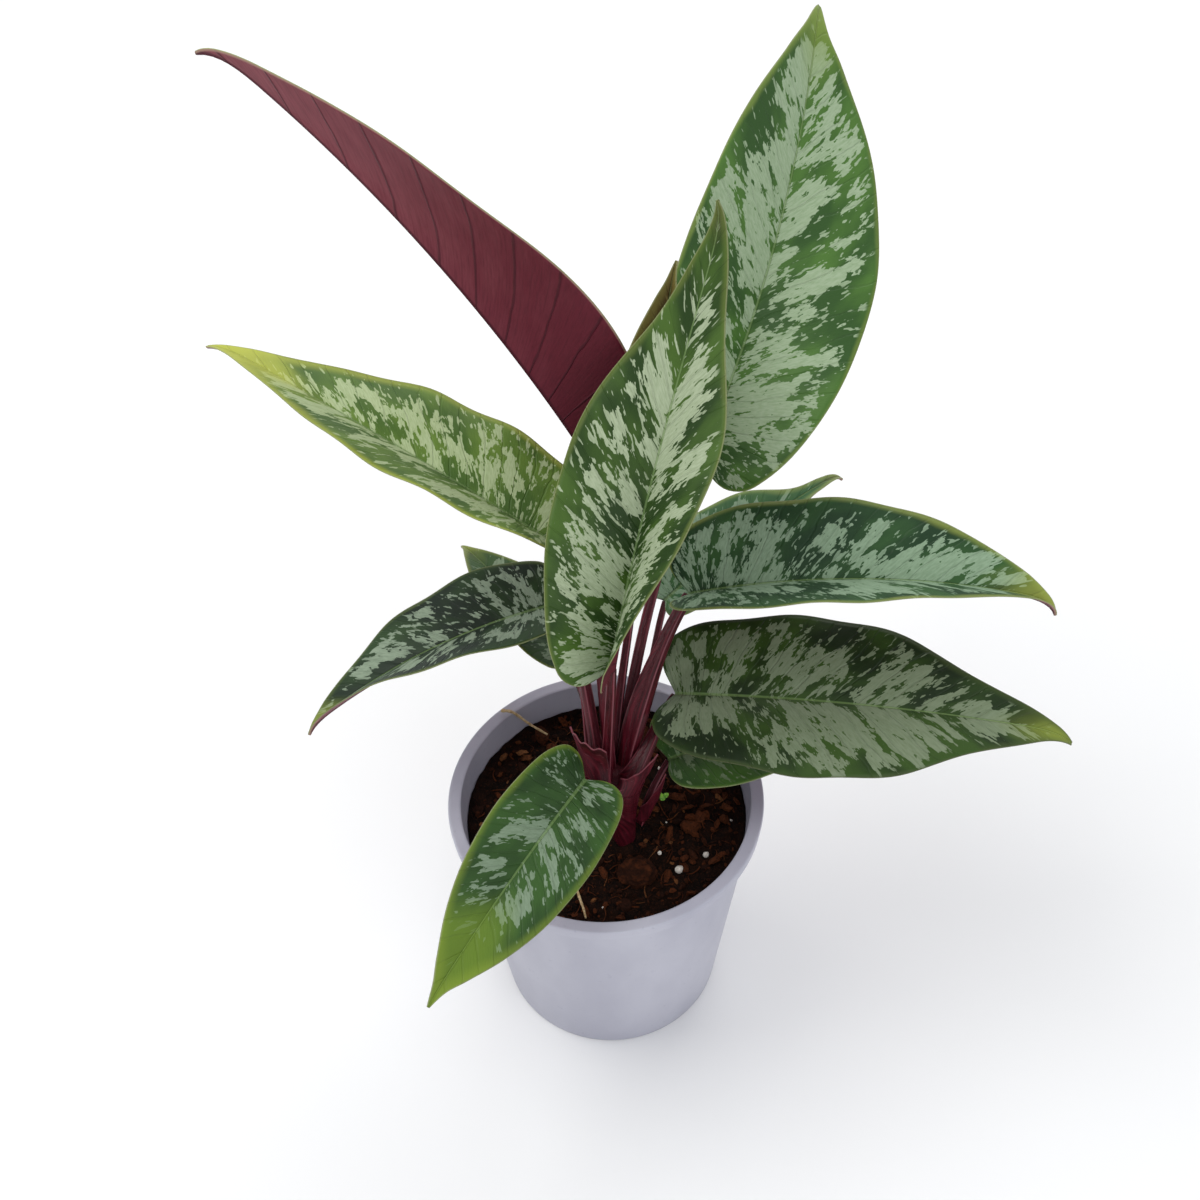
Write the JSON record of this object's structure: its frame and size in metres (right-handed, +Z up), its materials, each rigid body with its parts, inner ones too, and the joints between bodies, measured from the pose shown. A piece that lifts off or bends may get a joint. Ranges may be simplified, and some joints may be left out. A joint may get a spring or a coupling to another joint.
{
  "type": "potted lavallaei apoballis",
  "caption": "Young aroid houseplant with long-stalked pointed silver-blotched leaves on a short burgundy crown, in a plain round tapered nursery pot filled with potting mix.",
  "frame": {"origin": "middle of the pot's flat base, on the surface that the pot stands on", "axes": "+Z up along the pot's axis; the camera of the picture looks along +Y, with +X to its right"},
  "size_m": [0.3078, 0.3013, 0.3453],
  "materials": {
    "pot": "satin",
    "potting_mix": "matte",
    "stalk": "satin",
    "leaf_green": "satin",
    "young_leaf": "satin",
    "root_strand": "matte"
  },
  "bodies": {
    "root": {"pot": "pot", "potting_mix": "potting_mix", "crown": "stalk", "petiole_back_right": "stalk", "blade_back_right": "leaf_green", "petiole_front_centre": "stalk", "blade_front_centre": "leaf_green", "petiole_upper_left": "stalk", "blade_upper_left": "leaf_green", "petiole_left": "stalk", "blade_left": "leaf_green", "petiole_lower_left": "stalk", "blade_lower_left": "leaf_green", "petiole_back_left": "stalk", "blade_back_left": "leaf_green", "petiole_right_upper": "stalk", "blade_right_upper": "leaf_green", "petiole_right_lower": "stalk", "blade_right_lower": "leaf_green", "petiole_front_lower": "stalk", "blade_front_lower": "leaf_green", "petiole_low_right": "stalk", "blade_low_right": "leaf_green", "petiole_right_back": "stalk", "blade_right_back": "leaf_green", "petiole_young": "stalk", "blade_young": "young_leaf", "sheath_front": "stalk", "sheath_left": "stalk", "sheath_right": "stalk", "root_strand_back": "root_strand", "root_strand_front": "root_strand"}
  },
  "joints": []
}
